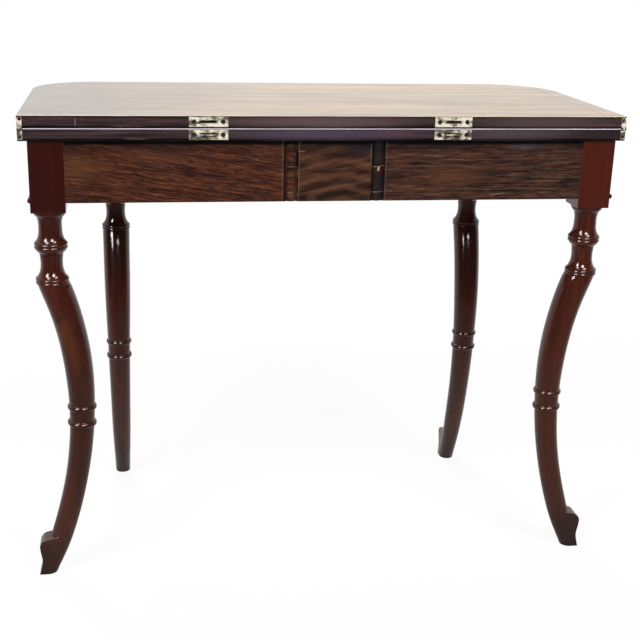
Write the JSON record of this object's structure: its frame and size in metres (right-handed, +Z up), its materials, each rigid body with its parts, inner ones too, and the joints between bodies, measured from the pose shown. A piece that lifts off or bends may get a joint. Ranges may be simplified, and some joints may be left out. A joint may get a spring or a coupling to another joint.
{
  "type": "folding tea table",
  "caption": "Fold-over tea table with rounded front corners, a shallow frieze, gate legs on wooden knuckle joints, turned sabre legs and scroll toes.",
  "frame": {"origin": "on the floor, under the middle of the bounding box of the folded table", "axes": "+X along the leaves' long side, +Y towards the show front with the rounded corners, +Z up; the hinge line and the two gates are on the -Y side"},
  "size_m": [0.9204, 0.4178, 0.75],
  "materials": {
    "mahogany": "polished",
    "top_mahogany": "polished",
    "secondary_wood": "unfinished",
    "brass": "worn",
    "iron": "aged"
  },
  "bodies": {
    "frame": {"centre_bearer": "secondary_wood", "fixed_hinge_rail": "mahogany", "fixed_leaf": "top_mahogany", "front_bead": "mahogany", "front_left_leg": "mahogany", "front_rail": "mahogany", "front_right_leg": "mahogany", "glue_blocks": "secondary_wood", "hinge_packing_block": "secondary_wood", "inner_back_rail": "secondary_wood", "leaf_screws": "iron", "left_corner_bead": "mahogany", "left_corner_frieze": "mahogany", "left_end_bead": "mahogany", "left_end_rail": "mahogany", "left_hinge_pin": "iron", "left_knuckle_pin": "iron", "left_lower_hinge_plate": "brass", "left_tongue_plate": "brass", "lower_hinge_screws": "iron", "right_corner_bead": "mahogany", "right_corner_frieze": "mahogany", "right_end_bead": "mahogany", "right_end_rail": "mahogany", "right_hinge_pin": "iron", "right_knuckle_pin": "iron", "right_lower_hinge_plate": "brass", "right_tongue_plate": "brass", "tongue_plate_screws": "iron"},
    "folding top": {"folding_leaf": "top_mahogany", "left_upper_hinge_plate": "brass", "right_upper_hinge_plate": "brass", "upper_hinge_screws": "iron", "left_slot_plate": "brass", "right_slot_plate": "brass", "slot_plate_screws": "iron"},
    "left gate": {"left_gate_rail": "mahogany", "left_gate_leg": "mahogany", "left_leg_bead": "mahogany"},
    "right gate": {"right_gate_rail": "mahogany", "right_gate_leg": "mahogany", "right_leg_bead": "mahogany"}
  },
  "joints": [
    {"name": "top leaf", "type": "hinge", "parent": "frame", "child": "folding top", "pos_m": [0, -0.20595, 0.7313], "axis": [1, 0, 0], "range_deg": [0, 180]},
    {"name": "left gate", "type": "hinge", "parent": "frame", "child": "left gate", "pos_m": [-0.0603, -0.19325, 0.66], "axis": [0, 0, 1], "range_deg": [0, 90]},
    {"name": "right gate", "type": "hinge", "parent": "frame", "child": "right gate", "pos_m": [0.0717, -0.19325, 0.66], "axis": [0, 0, -1], "range_deg": [0, 90]}
  ]
}
